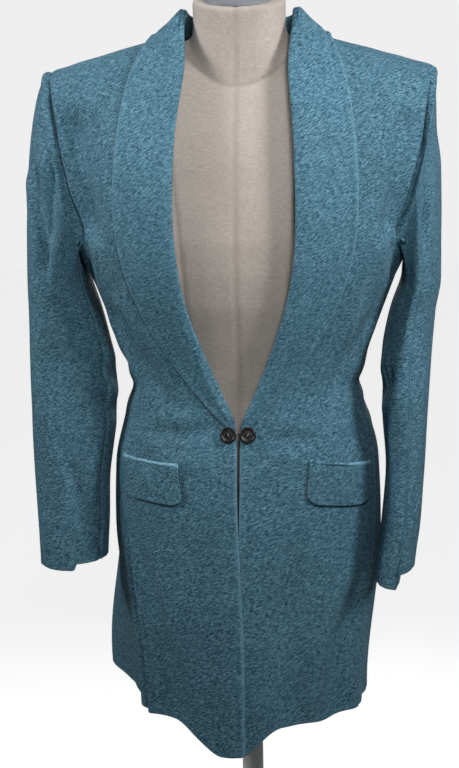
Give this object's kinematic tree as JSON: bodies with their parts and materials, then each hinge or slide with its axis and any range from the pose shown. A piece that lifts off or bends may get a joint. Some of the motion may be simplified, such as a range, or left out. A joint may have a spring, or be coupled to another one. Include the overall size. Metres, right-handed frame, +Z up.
{
  "type": "long coat on a limbless dress form with a round stand",
  "caption": "Long nipped-waist coat with a shawl collar, linked buttons and flap pockets, held open and filled out on a limbless dress form with a pole and a round base.",
  "frame": {"origin": "centre of the round base on the surface it stands on", "axes": "+Z up along the pole, -Y the way the coat's front faces, +X the wearer's left"},
  "size_m": [0.4679, 0.42, 1.4014],
  "materials": {
    "coat_cloth": "teal worsted with short darker slubs, soft sheen",
    "button": "black, slightly glossy, raised rim",
    "link_thread": "dark buttonhole thread",
    "form_cloth": "plain beige form cover, matt",
    "form_cap": "pale, smooth",
    "stand_metal": "off-white paint, satin"
  },
  "bodies": {
    "root": {"front_left": "coat_cloth", "front_right": "coat_cloth", "side_left": "coat_cloth", "side_right": "coat_cloth", "back_left": "coat_cloth", "back_right": "coat_cloth", "shawl_left": "coat_cloth", "shawl_right": "coat_cloth", "sleeve_top_left": "coat_cloth", "sleeve_top_right": "coat_cloth", "sleeve_under_left": "coat_cloth", "sleeve_under_right": "coat_cloth", "flap_left": "coat_cloth", "flap_right": "coat_cloth", "welt_left": "coat_cloth", "welt_right": "coat_cloth", "button_left": "button", "button_right": "button", "button_link": "link_thread", "form_torso": "form_cloth", "form_cap": "form_cap", "form_pole": "stand_metal", "form_base": "stand_metal"}
  },
  "joints": []
}
